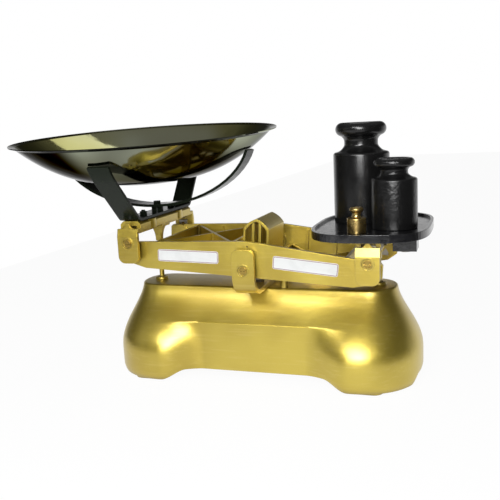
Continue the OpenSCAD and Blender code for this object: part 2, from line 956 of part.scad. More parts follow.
module left_carrier_frame() { placed() color(gold) at_left() carrier_frame(); }
module left_leg() { placed() color(gold) at_left() carrier_leg(); }
module left_bearings() { placed() color(steel) at_left() carrier_bearings(); }
module left_bearing_screws() { placed() color(steel) at_left() carrier_screws(); }
module left_stay_pin() { placed() color(steel) at_left() leg_pin(); }
module right_carrier_frame() { placed() color(gold) at_right() carrier_frame(); }
module right_leg() { placed() color(gold) at_right() carrier_leg(); }
module right_bearings() { placed() color(steel) at_right() carrier_bearings(); }
module right_bearing_screws() { placed() color(steel) at_right() carrier_screws(); }
module right_stay_pin() { placed() color(steel) at_right() leg_pin(); }

// Stay bar: a flat bar on the base's pivot, with a fork at each end round a leg's eye

module stay_bar() {
    ear_in = leg_half + fork_in;
    ear_out = ear_in + fork_t;
    web_x = arm_l - fork_web;
    placed()
        color(steel)
            at_stay()
                difference() {
                    union() {
                        from_front(-stay_t / 2, stay_t / 2) {
                            translate([-web_x + 2, -stay_h / 2])
                                square([2 * web_x - 4, stay_h]);
                            circle(r = hub_r, $fn = 64);
                        }
                        along_y(hub_r, -stay_t / 2 - 1.5, stay_t / 2 + 1.5);
                        left_and_right() {
                            translate([web_x - 12, -ear_out, -stay_h / 2])
                                cube([12, 2 * ear_out, stay_h]);
                            front_and_back()
                                from_front(ear_in, ear_out) {
                                    translate([web_x - cut, -stay_h / 2])
                                        square([fork_web + cut, stay_h]);
                                    translate([arm_l, 0])
                                        circle(r = stay_h / 2, $fn = 64);
                                }
                        }
                    }
                    along_y(stay_pin_r + pivot_gap, -hub_r - cut, hub_r + cut);
                    for (x = [-arm_l, arm_l])
                        along_y(leg_pin_r + fork_gap, -ear_out - cut, ear_out + cut, x);
                }
}

// Bowl and spider

// Depth below the rim plane of the bowl's outer face, at radius r
function bowl_depth(r) = r > bowl_in_r
    ? bowl_rim_drop * (bowl_r - r) / bowl_rim + bowl_t
    : bowl_rim_drop + bowl_t + (bowl_d - bowl_rim_drop) * (1 - pow(r / bowl_in_r, bowl_power));

module bowl() {
    steps = 22;
    lower = concat([for (i = [0 : steps]) let (r = bowl_in_r * sin(90 * i / steps)) [r, -bowl_depth(r)]], [[bowl_r, -bowl_t]]);
    upper = [for (p = reversed(lower)) [p[0], p[1] + bowl_t]];
    placed()
        color(steel)
            at_bowl()
                rotate_extrude($fn = 96)
                    polygon(concat(lower, upper));
}

// The height of the bowl's outer face over the table, at a place in the scale's own plan
function bowl_under(x, y) =
    let (u = x - bowl_x, v = (y - bowl_d / 3 * sin(bowl_lean)) / cos(bowl_lean), r = min(bowl_in_r, norm([u, v])))
    bowl_z + v * sin(bowl_lean) - bowl_depth(r) * cos(bowl_lean);

// A strap of even thickness along a line of points, in a plane
function heading(line, i) =
    let (a = line[max(0, i - 1)], b = line[min(len(line) - 1, i + 1)], d = b - a) d / norm(d);
function beside(line, off) = [for (i = [0 : len(line) - 1]) let (h = heading(line, i)) line[i] + off * [-h[1], h[0]]];

module bent_strap(line) {
    polygon(concat(beside(line, 0), reversed(beside(line, strap_t))));
}

// A rounded bend between two straight runs
function bend(centre, r, a0, a1, steps) = [for (i = [0 : steps]) let (a = a0 + (a1 - a0) * i / steps) centre + r * [cos(a), sin(a)]];

// The angle at which a shoulder's inner face meets the bowl, found by halving
function shoulder_end(middle, side, low, high, tries) =
    let (a = (low + high) / 2,
         p = middle + (shoulder_bend - strap_t) * [cos(a), sin(a)],
         clear = p[1] + seat_gap < bowl_under(-end_x - strap_w / 2, side * p[0]))
    tries == 0 ? low
    : clear ? shoulder_end(middle, side, a, high, tries - 1)
    : shoulder_end(middle, side, low, a, tries - 1);

// The outer line of one rising arm of the lower strap, from its flat run to where it meets the bowl
function side_arm(reach, slope, side) =
    let (knee = bend([arm_run_y, lower_z + knee_bend], knee_bend, -90, slope - 90, 5),
         rise_y = reach - shoulder_bend * (1 - sin(slope)),
         rise_z = knee[5][1] + (rise_y - knee[5][0]) * tan(slope),
         middle = [reach - shoulder_bend, rise_z + shoulder_bend * cos(slope)])
    concat(knee, bend(middle, shoulder_bend, slope - 90, shoulder_end(middle, side, slope - 90, 0, 12), 6));

module lower_strap() {
    back = side_arm(arm_reach_back, arm_slope_back, 1);
    front = side_arm(arm_reach_front, arm_slope_front, -1);
    line = concat([for (p = reversed(front)) [-p[0], p[1]]], back);
    placed()
        color(black)
            translate([-end_x, 0, 0])
                difference() {
                    from_side(-strap_w / 2, strap_w / 2)
                        bent_strap(line);
                    for (y = [-bolt_y, 0, bolt_y])
                        translate([0, y, lower_z - cut])
                            cylinder(r = bolt_r + bolt_gap, h = strap_t + 2 * cut, $fn = 32);
                }
}

// The upper strap's outer line is part of an ellipse; each arm ends where it meets the bowl
function ellipse_at(a) = [arm_reach_x * sin(a), upper_z + arm_rise * (1 - cos(a))];
function clear_at(a, side) =
    let (across = [-arm_rise * sin(a), arm_reach_x * cos(a)],
         p = ellipse_at(a) + strap_t * across / norm(across),
         x = side * p[0] - end_x)
    p[1] + seat_gap < min(bowl_under(x, 0), bowl_under(x, -strap_w / 2));
function meeting(low, high, side, tries) =
    tries == 0 ? low
    : clear_at((low + high) / 2, side) ? meeting((low + high) / 2, high, side, tries - 1)
    : meeting(low, (low + high) / 2, side, tries - 1);
function half_line(side) = let (last = meeting(30, 89, side, 12)) [for (i = [1 : 14]) ellipse_at(last * i / 14)];
function upper_line() = concat(
    [for (p = reversed(half_line(-1))) [-p[0], p[1]]],
    [[0, upper_z]],
    half_line(1)
);

module upper_strap() {
    placed()
        color(black)
            translate([-end_x, 0, 0])
                difference() {
                    from_front(-strap_w / 2, strap_w / 2)
                        bent_strap(upper_line());
                    translate([0, 0, upper_z - cut])
                        cylinder(r = bolt_r + bolt_gap, h = strap_t + 2 * cut + 1, $fn = 32);
                }
}

module strap_spacer() {
    placed()
        color(black)
            translate([-end_x, 0, lower_z + strap_t])
                difference() {
                    cylinder(r = spacer_r, h = hub_gap, $fn = 40);
                    translate([0, 0, -cut])
                        cylinder(r = bolt_r + bolt_gap, h = hub_gap + 2 * cut, $fn = 32);
                }
}

module strap_bolts() {
    placed()
        color(black)
            for (y = [-bolt_y, bolt_y])
                translate([-end_x, y, 0]) {
                    translate([0, 0, lower_z - bar_h + 1])
                        cylinder(r = bolt_r, h = bar_h + strap_t + nut_h + 1, $fn = 32);
                    translate([0, 0, lower_z + strap_t])
                        cylinder(r = bolt_head_r, h = nut_h, $fn = 6);
                }
}

module hub_bolt() {
    low = left_z + bar_rise - bar_h - 12;
    placed()
        color(black)
            translate([-end_x, 0, 0]) {
                translate([0, 0, low])
                    cylinder(r = bolt_r - thread_gap, h = upper_z + strap_t + rest_gap - low, $fn = 32);
                translate([0, 0, upper_z + strap_t + rest_gap])
                    cylinder(r = bolt_head_r, h = bolt_head_h, $fn = 6);
            }
}

// Weight plate, balance box and weights

// A rounded rectangle by a power curve, wide a and deep b
function squircle(a, b) = [for (i = [0 : 71])
    let (t = 5 * i, c = cos(t), s = sin(t), p = 2 / 3.2)
    [a * sign(c) * pow(abs(c), p), b * sign(s) * pow(abs(s), p)]];

module weight_plate() {
    placed()
        color(black)
            difference() {
                translate([tray_mid_x, tray_mid_y, tray_rim_z - tray_h])
                    linear_extrude(tray_h)
                        polygon(squircle(tray_x, tray_y));
                translate([tray_mid_x, tray_mid_y, tray_top])
                    linear_extrude(tray_h)
                        polygon(squircle(tray_x - tray_wall, tray_y - tray_wall));
                difference() {
                    translate([tray_mid_x, tray_mid_y, tray_rim_z - tray_h - cut])
                        linear_extrude(tray_top - tray_floor_t - tray_rim_z + tray_h + cut)
                            polygon(squircle(tray_x - tray_wall, tray_y - tray_wall));
                    for (y = [-bolt_y, 0, bolt_y])
                        translate([end_x, y, tray_z])
                            cylinder(r = 12, h = tray_pad_h + cut, $fn = 40);
                }
                for (y = [-bolt_y, 0, bolt_y])
                    translate([end_x, y, tray_z - cut]) {
                        cylinder(r = bolt_r + bolt_gap, h = tray_h, $fn = 32);
                        translate([0, 0, tray_top - tray_z + cut - 2.2])
                            cylinder(r = bolt_head_r + bolt_gap, h = tray_h, $fn = 32);
                    }
            }
}

// A flat-headed bolt whose head lies flush in the plate's floor
module plate_bolt(length) {
    translate([0, 0, tray_top - 2.1]) {
        cylinder(r = bolt_head_r, h = 2.1, $fn = 32);
        translate([0, 0, -length])
            cylinder(r = bolt_r - thread_gap, h = length + cut, $fn = 32);
    }
}

module plate_bolts() {
    placed()
        color(black)
            for (y = [-bolt_y, bolt_y])
                translate([end_x, y, 0])
                    plate_bolt(bar_h + 1);
}

module right_leg_bolt() {
    placed()
        color(black)
            translate([end_x, 0, 0])
                plate_bolt(bar_h + 14);
}

module balance_box() {
    placed()
        color(black)
            difference() {
                translate([box_x, box_y, box_low])
                    cube([box_w, box_l, box_top - box_low]);
                translate([box_x + box_wall, box_y + box_wall, box_low + box_wall])
                    cube([box_w - 2 * box_wall, box_l - 2 * box_wall, box_top - box_low]);
                translate([box_x + box_w / 2, box_y + box_l / 2, box_low - cut])
                    cylinder(r = plug_r, h = box_wall + 2 * cut, $fn = 32);
            }
}

module balance_box_plug() {
    placed()
        color(steel)
            translate([box_x + box_w / 2, box_y + box_l / 2, box_low]) {
                translate([0, 0, -cut])
                    cylinder(r = plug_r - thread_gap, h = box_wall + 2, $fn = 32);
                translate([0, 0, -plug_head])
                    cylinder(r = plug_r + 1.5, h = plug_head, $fn = 32);
            }
}

// A knob weight: a drum with a rounded shoulder, a waisted neck and a wide knob
module knob_weight(r, body_h, whole_h, knob_r, neck_r) {
    neck_h = body_h + (whole_h - body_h) * 0.22;
    knob_low = body_h + (whole_h - body_h) * 0.52;
    edge = r * 0.1;
    base_edge = 1.2;
    dish = knob_r * 0.1;
    profile = concat(
        [[0, 0], [r - base_edge, 0], [r, base_edge]],
        bend([r - edge, body_h - edge], edge, 0, 80, 5),
        [[neck_r * 1.25, body_h + edge * 0.5]],
        [for (i = [0 : 4]) let (a = 20 * i) [neck_r + (neck_r * 0.22) * (1 - cos(a) ) - 0.2 * sin(2 * a), neck_h + (knob_low - neck_h) * i / 4 * 0.9]],
        bend([knob_r - edge, knob_low + edge * 1.2], edge, -60, 0, 3),
        bend([knob_r - edge * 1.4, whole_h - edge], edge, 20, 85, 4),
        [[knob_r * 0.62, whole_h - dish * 0.55], [0, whole_h - dish]]
    );
    rotate_extrude($fn = 72)
        polygon(profile);
}

module weight_5kg() {
    placed()
        color(black)
            translate([big_at[0], big_at[1], tray_top + rest_gap])
                knob_weight(big_r, big_h[0], big_h[1], big_r * 0.905, big_r * 0.6);
}

module weight_2kg() {
    placed()
        color(black)
            translate([mid_at[0], mid_at[1], tray_top + rest_gap])
                knob_weight(mid_r, mid_h[0], mid_h[1], mid_r * 0.89, mid_r * 0.6);
}

module weight_200g() {
    placed()
        color("#b58a3c")
            translate([small_at[0], small_at[1], tray_top + rest_gap])
                knob_weight(small_r, small_h[0], small_h[1], small_r * 0.72, small_r * 0.45);
}

base_casting();
centre_stand();
stand_bolts();
stand_bearings();
stand_bearing_screws();
stop_pegs();
stay_bracket();
stay_pivot_pin();
beam_casting();
centre_knives();
left_knives();
right_knives();
left_carrier_frame();
left_leg();
left_bearings();
left_bearing_screws();
left_stay_pin();
lower_strap();
upper_strap();
strap_spacer();
strap_bolts();
hub_bolt();
right_carrier_frame();
right_leg();
right_bearings();
right_bearing_screws();
right_stay_pin();
weight_plate();
plate_bolts();
right_leg_bolt();
balance_box();
balance_box_plug();
stay_bar();
bowl();
weight_5kg();
weight_2kg();
weight_200g();
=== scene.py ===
import json
import math

import bmesh
import bpy
from mathutils import Matrix, Vector


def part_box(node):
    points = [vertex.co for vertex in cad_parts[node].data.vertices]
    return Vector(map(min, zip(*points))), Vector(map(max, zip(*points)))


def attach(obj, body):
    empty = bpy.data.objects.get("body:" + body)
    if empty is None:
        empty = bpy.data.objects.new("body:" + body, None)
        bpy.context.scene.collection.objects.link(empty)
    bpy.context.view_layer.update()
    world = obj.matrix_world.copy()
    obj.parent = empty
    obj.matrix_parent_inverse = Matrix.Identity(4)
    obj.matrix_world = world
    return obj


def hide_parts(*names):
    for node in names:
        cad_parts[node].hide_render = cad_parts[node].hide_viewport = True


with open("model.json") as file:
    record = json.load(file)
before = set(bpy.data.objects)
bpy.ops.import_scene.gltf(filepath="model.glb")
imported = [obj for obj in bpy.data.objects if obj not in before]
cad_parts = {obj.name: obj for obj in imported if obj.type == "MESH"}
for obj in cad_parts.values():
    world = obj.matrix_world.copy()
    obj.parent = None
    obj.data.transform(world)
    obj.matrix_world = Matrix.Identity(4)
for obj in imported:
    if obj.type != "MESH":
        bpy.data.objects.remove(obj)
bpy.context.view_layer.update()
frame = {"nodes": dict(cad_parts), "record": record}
nodes = frame["nodes"]
print("loaded", len(nodes), "nodes")

# The beam's middle knife line in the frame's metres, and the beam's own lengths in millimetres
mm = 0.001
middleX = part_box("centre_stand")[0][0] / 2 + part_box("centre_stand")[1][0] / 2
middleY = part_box("centre_stand")[0][1] / 2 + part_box("centre_stand")[1][1] / 2
beam = {"knifeZ": 182, "cheekY": 88, "armLength": 170, "tilt": math.radians(4)}


def place(x, y, z):  # a point in the scale's own millimetres, as the frame has it
    return Vector((middleX + x * mm, middleY + y * mm, z * mm))


# Shader sockets with arithmetic on them

class Wire:
    def __init__(self, tree, socket=None):
        self.tree = tree
        self.socket = socket

    def node(self, kind, settings=None, sockets=None, out=0):
        made = self.tree.nodes.new("ShaderNode" + kind)
        for name, value in (settings or {}).items():
            setattr(made, name, value)
        for name, value in (sockets or {}).items():
            self.join(value, made.inputs[name])
        return Wire(self.tree, made.outputs[out])

    def join(self, value, socket):
        if isinstance(value, Wire):
            self.tree.links.new(value.socket, socket)
        elif isinstance(value, tuple) and len(value) == 3 and socket.type == "RGBA":
            socket.default_value = (*value, 1)
        else:
            socket.default_value = value

    def maths(self, operation, first, second=0.0, clamp=False):
        return self.node("Math", {"operation": operation, "use_clamp": clamp}, {0: first, 1: second})

    def __add__(self, other):
        return self.maths("ADD", self, other)

    def __sub__(self, other):
        return self.maths("SUBTRACT", self, other)

    def __rsub__(self, other):
        return self.maths("SUBTRACT", other, self)

    def __mul__(self, other):
        return self.maths("MULTIPLY", self, other)

    def __truediv__(self, other):
        return self.maths("DIVIDE", self, other)

    def __pow__(self, other):
        return self.maths("POWER", self, other)

    __radd__ = __add__
    __rmul__ = __mul__

    def clamped(self):
        return self.maths("MULTIPLY", self, 1.0, clamp=True)

    def swing(self):  # how far a noise is from its middle
        return self - 0.5

    def axis(self, number):  # x, y or z of a vector
        return self.node("SeparateXYZ", None, {0: self}, out=number)

    def between(self, low, high):  # 0 below low, 1 above high, smooth in the middle
        return self.node("MapRange", {"interpolation_type": "SMOOTHSTEP"}, {0: self, 1: low, 2: high})

    def mix(self, amount, first, second):  # two colours by an amount
        return self.node("Mix", {"data_type": "RGBA"}, {0: amount, 6: first, 7: second}, out=2)


sampling = {"bevel": 6, "crevice": 6, "edgeSpan": (0.02, 0.28)}


def grain(wire, size, detail=4.0, rough=0.55, stretch=(1, 1, 1), shift=(0, 0, 0)):
    spot = wire.node("TexCoord", out="Object")
    spread = wire.node("Mapping", None, {"Vector": spot, "Scale": stretch, "Location": shift})
    sockets = {"Vector": spread, "Scale": 1 / size, "Detail": detail, "Roughness": rough}
    return wire.node("TexNoise", None, sockets)


def turning(wire, along, pitch):  # the fine lines that a lathe leaves
    sockets = {"W": along / pitch, "Scale": 1.0, "Detail": 2.0}
    return wire.node("TexNoise", {"noise_dimensions": "1D"}, sockets)


def roundedNormal(wire, radius):
    return wire.node("Bevel", {"samples": sampling["bevel"]}, {"Radius": radius})


def edgeMask(wire, rounded):  # near 1 where the rounded normal leaves the flat one
    flat = wire.node("NewGeometry", out="Normal")
    dot = wire.node("VectorMath", {"operation": "DOT_PRODUCT"}, {0: flat, 1: rounded}, out="Value")
    return (1 - dot).between(*sampling["edgeSpan"])


def crevice(wire, distance):
    settings = {"samples": sampling["crevice"], "only_local": False}
    return wire.node("AmbientOcclusion", settings, {"Distance": distance}, out="AO")


def bumped(wire, height, strength, distance, under=None):
    sockets = {"Height": height, "Strength": strength, "Distance": distance}
    if under:
        sockets["Normal"] = under
    return wire.node("Bump", None, sockets)


def newFinish(name):
    material = bpy.data.materials.new(name)
    material.use_nodes = True
    shader = material.node_tree.nodes["Principled BSDF"]
    return material, Wire(material.node_tree), shader


def setShader(wire, shader, **sockets):
    for name, value in sockets.items():
        wire.join(value, shader.inputs[name.replace("_", " ")])


# Gold paint on the castings, with grime and painted shade darkening its crevices

goldPaint = {
    "light": (0.57, 0.435, 0.045), "deep": (0.44, 0.315, 0.018),
    # dirt is the near-black colour of grime and painted shade that the crevice mask lays into hollows
    "dirt": (0.05, 0.02, 0.002), "edge": (0.76, 0.62, 0.2),
    "metallic": 0.92, "roughness": 0.38, "coat": 0.5, "coatIor": 2.0, "coatRoughness": 0.33,
    "patch": 0.09, "patchSpan": (0.3, 0.7),
    "streak": 0.003, "streakStretch": (0.06, 0.4, 1), "streakSpan": (0.5, 0.75), "streakRough": 0.08,
    "grain": 0.0011, "grainSpan": (0.55, 0.8), "grainShine": 0.15, "grainBump": 0.16, "grainHeight": 0.0003,
    "lump": 0.008, "lumpSpan": (0.35, 0.6), "lumpShine": 0.5, "lumpRough": 0.1, "lumpHeight": 0.0009,
    "hollow": 0.016, "hollowSpan": (0.25, 0.95), "hollowRough": 0.2, "bevel": 0.0011,
}


def goldFinish(name, paint, lumps=0.5, dirt=0.75, streaks=0.16):
    material, wire, shader = newFinish(name)
    patches = grain(wire, paint["patch"], 2, 0.4)
    lumpy = grain(wire, paint["lump"])
    fine = grain(wire, paint["grain"], 2, 0.5)
    brushed = grain(wire, paint["streak"], 3, 0.5, stretch=paint["streakStretch"])
    rounded = roundedNormal(wire, paint["bevel"])
    edges = edgeMask(wire, rounded)
    hollow = 1 - crevice(wire, paint["hollow"])
    colour = wire.mix(patches.between(*paint["patchSpan"]), paint["deep"], paint["light"])
    colour = wire.mix(brushed.between(*paint["streakSpan"]) * streaks, colour, paint["edge"])
    colour = wire.mix(fine.between(*paint["grainSpan"]) * paint["grainShine"], colour, paint["edge"])
    # grime and painted shade: an occlusion mask darkens creases, recesses and gaps between parts towards the
    # dirt colour
    colour = wire.mix((hollow.between(*paint["hollowSpan"]) * dirt).clamped(), colour, paint["dirt"])
    rubbed = edges * lumpy.between(*paint["lumpSpan"]) * paint["lumpShine"]
    colour = wire.mix(rubbed, colour, paint["edge"])
    rough = paint["roughness"] + lumpy.swing() * paint["lumpRough"]
    rough = rough + brushed.swing() * paint["streakRough"] + hollow * paint["hollowRough"]
    lumpNormal = bumped(wire, lumpy, lumps, paint["lumpHeight"], rounded)
    normal = bumped(wire, fine, paint["grainBump"], paint["grainHeight"], lumpNormal)
    setShader(wire, shader, Base_Color=colour, Roughness=rough.clamped(), Normal=normal)
    setShader(wire, shader, Metallic=paint["metallic"], Coat_Weight=paint["coat"])
    setShader(wire, shader, Coat_IOR=paint["coatIor"], Coat_Roughness=paint["coatRoughness"])
    return material


# Black paint on the straps, and the shinier black enamel

blackPaint = {
    "tone": (0.007, 0.010, 0.006), "worn": (0.06, 0.066, 0.048), "dust": (0.009, 0.012, 0.007),
    "roughness": 0.2, "gloss": 0.1, "bevel": 0.0008,
    "lump": 0.010, "lumpSpan": (0.45, 0.75), "lumpDust": 0.5, "lumpRough": 0.25,
    "grain": 0.0009, "grainSpan": (0.3, 0.6), "grainShare": 0.2, "bump": 0.25, "bumpHeight": 0.0006,
}
enamelPaint = {**blackPaint, "tone": (0.006, 0.006, 0.007), "dust": (0.016, 0.016, 0.017), "gloss": 0.9}


def blackFinish(name, paint, wear=0.5, rough=0.0):
    material, wire, shader = newFinish(name)
    lumpy = grain(wire, paint["lump"])
    fine = grain(wire, paint["grain"], 2)
    rounded = roundedNormal(wire, paint["bevel"])
    edges = edgeMask(wire, rounded)
    colour = wire.mix(lumpy.between(*paint["lumpSpan"]) * paint["lumpDust"], paint["tone"], paint["dust"])
    colour = wire.mix((edges * fine.between(*paint["grainSpan"]) * wear).clamped(), colour, paint["worn"])
    roughness = paint["roughness"] + rough + lumpy.swing() * paint["lumpRough"]
    height = lumpy + fine * paint["grainShare"]
    normal = bumped(wire, height, paint["bump"], paint["bumpHeight"], rounded)
    setShader(wire, shader, Base_Color=colour, Roughness=roughness.clamped(), Normal=normal)
    setShader(wire, shader, Specular_IOR_Level=paint["gloss"])
    return material


# Bare steel, and the yellow plating on the screws

bareSteel = {
    "tone": (0.42, 0.40, 0.37), "rust": (0.16, 0.09, 0.045), "roughness": 0.32, "metallic": 0.95,
    "line": 0.004, "lineStretch": (1, 14, 1), "lineRough": 0.2, "bump": 0.15, "bumpHeight": 0.0003,
    "spot": 0.007, "spotSpan": (0.62, 0.78), "spotShare": 0.45, "spotRough": 0.3, "bevel": 0.0005,
}
screwPlating = {**bareSteel, "tone": (0.42, 0.29, 0.07), "roughness": 0.24}


def steelFinish(name, metal):
    material, wire, shader = newFinish(name)
    lines = grain(wire, metal["line"], 3, 0.6, stretch=metal["lineStretch"])
    rust = grain(wire, metal["spot"], 5).between(*metal["spotSpan"])
    rounded = roundedNormal(wire, metal["bevel"])
    colour = wire.mix(rust * metal["spotShare"], metal["tone"], metal["rust"])
    roughness = metal["roughness"] + lines.swing() * metal["lineRough"] + rust * metal["spotRough"]
    normal = bumped(wire, lines, metal["bump"], metal["bumpHeight"], rounded)
    setShader(wire, shader, Base_Color=colour, Roughness=roughness.clamped(), Normal=normal)
    setShader(wire, shader, Metallic=metal["metallic"])
    return material


# The bowl's sheet: polished inside, darker outside, with painted reflections of a room in its colour: soft
# pale, olive and dark patches, partly real stains, a painted dark reflection at the left end and a painted
# pale reflection at the right one

bowlSteel = {
    "inside": {
        "pale": (0.52, 0.55, 0.42), "filmAndReflection": (0.36, 0.35, 0.15), "stainAndDarkReflection": (0.19, 0.16, 0.06),
        "blotch": 0.45, "darkReflectionShare": 0, "shift": (0.3, 0.1, 0),
    },
    "outside": {
        "pale": (0.33, 0.36, 0.28), "filmAndReflection": (0.10, 0.08, 0.035), "stainAndDarkReflection": (0.018, 0.012, 0.007),
        "blotch": 0.8, "darkReflectionShare": 0.92, "shift": (0.9, 0.35, 0.2),
    },
    "roughness": 0.06, "edge": 0.35, "broad": 0.2, "broadSpan": (0.35, 0.65),
    "patch": 0.12, "patchSpan": (0.4, 0.66), "patchRough": 0.05,
    "darkReflectionSpan": (-0.15, -0.11), "worn": (0.02, 0.07), "paleReflectionShare": 0.9,
    "rings": 0.0016, "ringRough": 0.03, "ringBump": 0.07, "ringHeight": 0.0001,
    "wander": 0.05, "wanderBump": 0.5, "wanderHeight": 0.0016,
}


def bowlFinish(name, steel, side):
    material, wire, shader = newFinish(name)
    tones = steel[side]
    spot = wire.node("TexCoord", out="Object")
    across = spot.axis(0)
    away = spot.axis(1)
    radius = (across * across + away * away) ** 0.5
    wander = grain(wire, steel["wander"], 2)
    rings = turning(wire, radius, steel["rings"])
    broad = grain(wire, steel["broad"], 1, 0.4, shift=tones["shift"])
    patches = grain(wire, steel["patch"], 1, 0.4, shift=tones["shift"])
    # painted reflections: pale, olive and dark patches stand in for the room the polished sheet mirrors; the
    # dark ones are partly stains
    colour = wire.mix(broad.between(*steel["broadSpan"]), tones["filmAndReflection"], tones["pale"])
    colour = wire.mix(patches.between(*steel["patchSpan"]) * tones["blotch"], colour, tones["stainAndDarkReflection"])
    # painted dark reflection: the outside's left end turns to the dark stain colour
    colour = wire.mix((1 - across.between(*steel["darkReflectionSpan"])) * tones["darkReflectionShare"], colour, tones["stainAndDarkReflection"])
    # painted reflection: the right end turns pale, towards the inside's pale colour
    colour = wire.mix(across.between(*steel["worn"]) * steel["paleReflectionShare"], colour, steel["inside"]["pale"])
    roughness = steel["roughness"] + patches * steel["patchRough"] + rings.swing() * steel["ringRough"]
    wavy = bumped(wire, wander, steel["wanderBump"], steel["wanderHeight"])
    normal = bumped(wire, rings, steel["ringBump"], steel["ringHeight"], wavy)
    setShader(wire, shader, Base_Color=colour, Roughness=roughness.clamped(), Metallic=1.0, Normal=normal)
    setShader(wire, shader, Specular_Tint=(steel["edge"],) * 3)
    return material


# Iron and brass of the weights

castIron = {
    "tone": (0.006, 0.006, 0.006), "worn": (0.07, 0.066, 0.06), "roughness": 0.2, "metallic": 0.15,
    "wear": 0.55, "lumpSpan": (0.62, 0.78), "lumpHeight": 0.0012,
    "patch": 0.02, "patchSpan": (0.45, 0.62), "patchRough": 0.22,
    "grain": 0.0012, "grainRough": 0.06, "grainBump": 0.2, "grainHeight": 0.0003,
}


def ironFinish(name, iron, texture, pits):
    material, wire, shader = newFinish(name)
    lumpy = grain(wire, pits, 5, 0.6)
    fine = grain(wire, iron["grain"], 3)
    patches = grain(wire, iron["patch"], 3)
    wear = lumpy.between(*iron["lumpSpan"]) * patches.between(*iron["patchSpan"])
    colour = wire.mix(wear * iron["wear"], iron["tone"], iron["worn"])
    roughness = iron["roughness"] + patches.swing() * iron["patchRough"] + fine * iron["grainRough"]
    lumpNormal = bumped(wire, lumpy, texture, iron["lumpHeight"])
    normal = bumped(wire, fine, iron["grainBump"], iron["grainHeight"], lumpNormal)
    setShader(wire, shader, Base_Color=colour, Roughness=roughness.clamped(), Normal=normal)
    setShader(wire, shader, Metallic=iron["metallic"])
    return material


turnedBrass = {
    "tone": (0.50, 0.36, 0.13), "tarnish": (0.20, 0.13, 0.05), "roughness": 0.26,
    "spot": 0.006, "spotSpan": (0.42, 0.7), "spotShare": 0.7, "spotRough": 0.2,
    "pitch": 0.0007, "bump": 0.3, "bumpHeight": 0.0002,
}


def brassFinish(name, metal):
    material, wire, shader = newFinish(name)
    height = wire.node("TexCoord", out="Object").axis(2)
    turned = turning(wire, height, metal["pitch"])
    tarnish = grain(wire, metal["spot"]).between(*metal["spotSpan"])
    colour = wire.mix(tarnish * metal["spotShare"], metal["tone"], metal["tarnish"])
    roughness = metal["roughness"] + tarnish * metal["spotRough"]
    normal = bumped(wire, turned, metal["bump"], metal["bumpHeight"])
    setShader(wire, shader, Base_Color=colour, Roughness=roughness.clamped(), Metallic=1.0, Normal=normal)
    return material


# The labels' white face and the thin line near its edge

labelPaint = {
    "tone": (0.52, 0.53, 0.53), "darker": 0.72, "roughness": 0.28, "bump": 0.1, "bumpHeight": 0.0001,
    "scuff": 0.004, "scuffSpan": (0.6, 0.85), "scuffShare": 0.25, "scuffRough": 0.15,
    "dirt": 0.02, "dirtSpan": (0.4, 0.75), "dirtShare": 0.35,
}
linePaint = {**labelPaint, "tone": (0.16, 0.035, 0.04), "roughness": 0.4}


def labelFinish(name, paint):
    material, wire, shader = newFinish(name)
    scuffs = grain(wire, paint["scuff"], 5).between(*paint["scuffSpan"])
    dirt = grain(wire, paint["dirt"], 3).between(*paint["dirtSpan"])
    darker = tuple(c * paint["darker"] for c in paint["tone"])
    colour = wire.mix(dirt * paint["dirtShare"] + scuffs * paint["scuffShare"], paint["tone"], darker)
    roughness = paint["roughness"] + scuffs * paint["scuffRough"]
    normal = bumped(wire, scuffs, paint["bump"], paint["bumpHeight"])
    setShader(wire, shader, Base_Color=colour, Roughness=roughness.clamped(), Normal=normal)
    return material


gold = goldFinish("gold_paint", goldPaint)
goldSmooth = goldFinish("gold_paint_smooth", goldPaint, lumps=0.22, dirt=0.6)
strapBlack = blackFinish("black_strap_paint", blackPaint)
enamel = blackFinish("black_enamel", enamelPaint, wear=0.2, rough=-0.06)
plainSteel = steelFinish("bare_steel", bareSteel)
screwSteel = steelFinish("screw_plating", screwPlating)
bowlInside = bowlFinish("polished_sheet_painted_reflections", bowlSteel, "inside")
bowlOutside = bowlFinish("outside_sheet_stains_and_reflections", bowlSteel, "outside")
ironSmooth = ironFinish("black_iron", castIron, texture=0.16, pits=0.011)
ironRough = ironFinish("black_iron_rough", castIron, texture=0.55, pits=0.0055)
brass = brassFinish("turned_brass", turnedBrass)
labelWhite = labelFinish("label_face", labelPaint)
labelLine = labelFinish("label_border", linePaint)
print("finishes ready")

finishes = {
    "gold_paint": gold, "black_strap": strapBlack, "black_enamel": enamel, "weight_iron": ironSmooth,
    "weight_brass": brass, "bowl_steel": bowlInside, "screw_steel": screwSteel, "plain_steel": plainSteel,
}

# Edges sharper than these angles, in degrees, stay crisp
sharp = {"node": 32, "piece": 35, "base": 38, "weight": 45, "bowl": 50}


def dressNodes():
    slots = {part["node"]: part["material_slot"] for part in frame["record"]["subparts"]}
    for name, obj in nodes.items():
        obj.data.materials.clear()
        obj.data.materials.append(finishes[slots[name]])
        obj.data.shade_smooth()
        obj.data.set_sharp_from_angle(angle=math.radians(sharp["node"]))


dressNodes()
print("castings and fittings dressed")


# Mesh helpers

meshing = {"weld": 1e-6, "onAxis": 1e-7}  # metres


def newPiece(name, materials):
    mesh = bpy.data.meshes.new(name)
    piece = bpy.data.objects.new(name, mesh)
    bpy.context.scene.collection.objects.link(piece)
    for material in materials:
        mesh.materials.append(material)
    return piece


def fill(piece, points, faces, smoothAngle=sharp["piece"]):
    piece.data.from_pydata([tuple(p) for p in points], [], faces)
    shape = bmesh.new()
    shape.from_mesh(piece.data)
    bmesh.ops.remove_doubles(shape, verts=shape.verts, dist=meshing["weld"])
    bmesh.ops.recalc_face_normals(shape, faces=shape.faces)
    shape.to_mesh(piece.data)
    shape.free()
    piece.data.shade_smooth()
    piece.data.set_sharp_from_angle(angle=math.radians(smoothAngle))


def settle(piece, body, slotName, *replaced):
    if replaced:
        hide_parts(*replaced)
    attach(piece, body)


